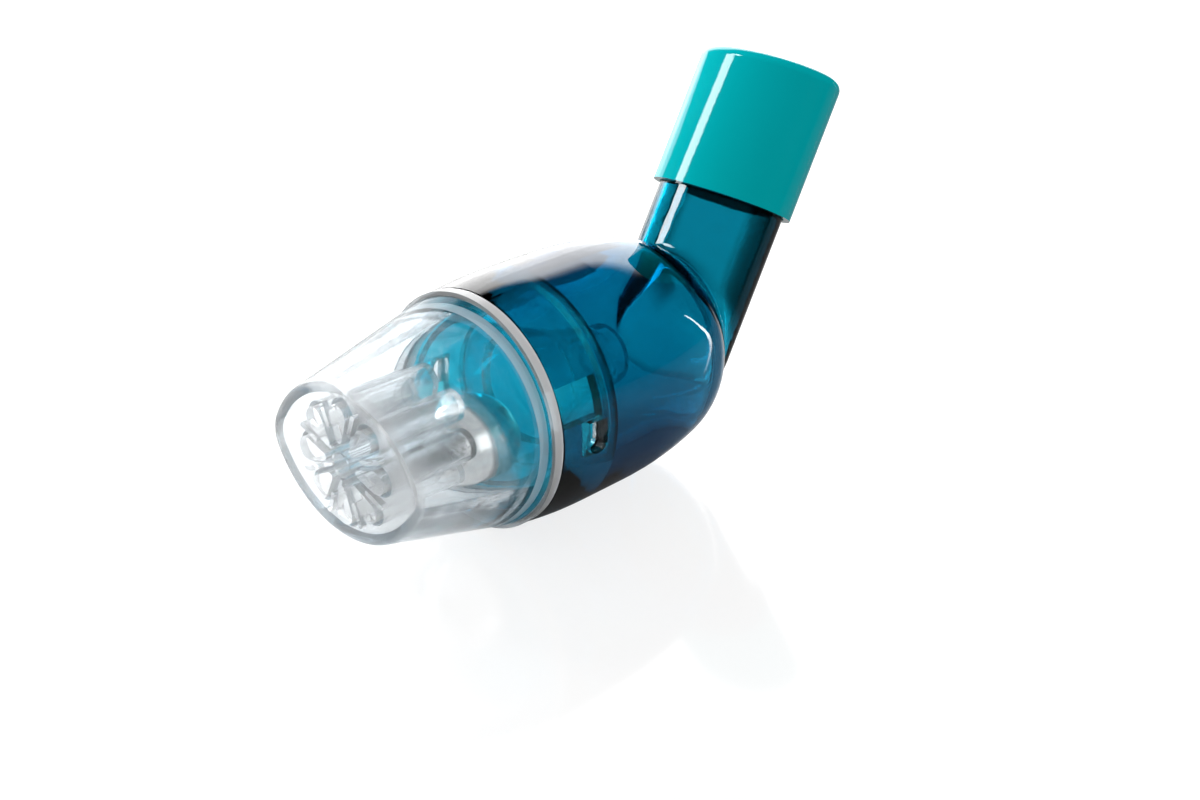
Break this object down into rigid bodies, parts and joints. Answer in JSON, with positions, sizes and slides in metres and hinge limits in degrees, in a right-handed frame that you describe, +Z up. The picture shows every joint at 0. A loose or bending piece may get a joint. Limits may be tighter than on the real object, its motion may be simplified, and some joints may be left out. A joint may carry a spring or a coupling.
{
  "type": "oscillating breathing trainer",
  "caption": "Pipe-shaped breathing trainer: clear teal barrel and oval mouthpiece with push-on cap, steel ball in a clear funnel, and a clear perforated twist-off head.",
  "frame": {"origin": "on the table, below the middle of the whole", "axes": "+X along the barrel from the clear head towards the neck, +Y across, +Z up"},
  "size_m": [0.1236, 0.0478, 0.0775],
  "materials": {
    "clear_teal": "gloss",
    "opaque_teal": "gloss",
    "clear": "gloss",
    "clear_funnel": "gloss",
    "steel": "satin"
  },
  "bodies": {
    "shell": {"body": "clear_teal", "funnel": "clear_funnel"},
    "head": {"head": "clear"},
    "ball": {"ball": "steel"},
    "cap": {"mouthpiece_cap": "opaque_teal"}
  },
  "joints": [
    {"name": "head_twist", "type": "hinge", "parent": "shell", "child": "head", "pos_m": [-0.03054, 0, 0.02395], "axis": [1, 0, 0], "range_deg": [-18.5, 0]},
    {"name": "ball_lift", "type": "slide", "parent": "shell", "child": "ball", "axis": [0.9361, 0, 0.3518], "range_m": [0, 0.0183]},
    {"name": "cap_pull", "type": "slide", "parent": "shell", "child": "cap", "axis": [0.5195, 0, 0.8545], "range_m": [0, 0.032]}
  ]
}
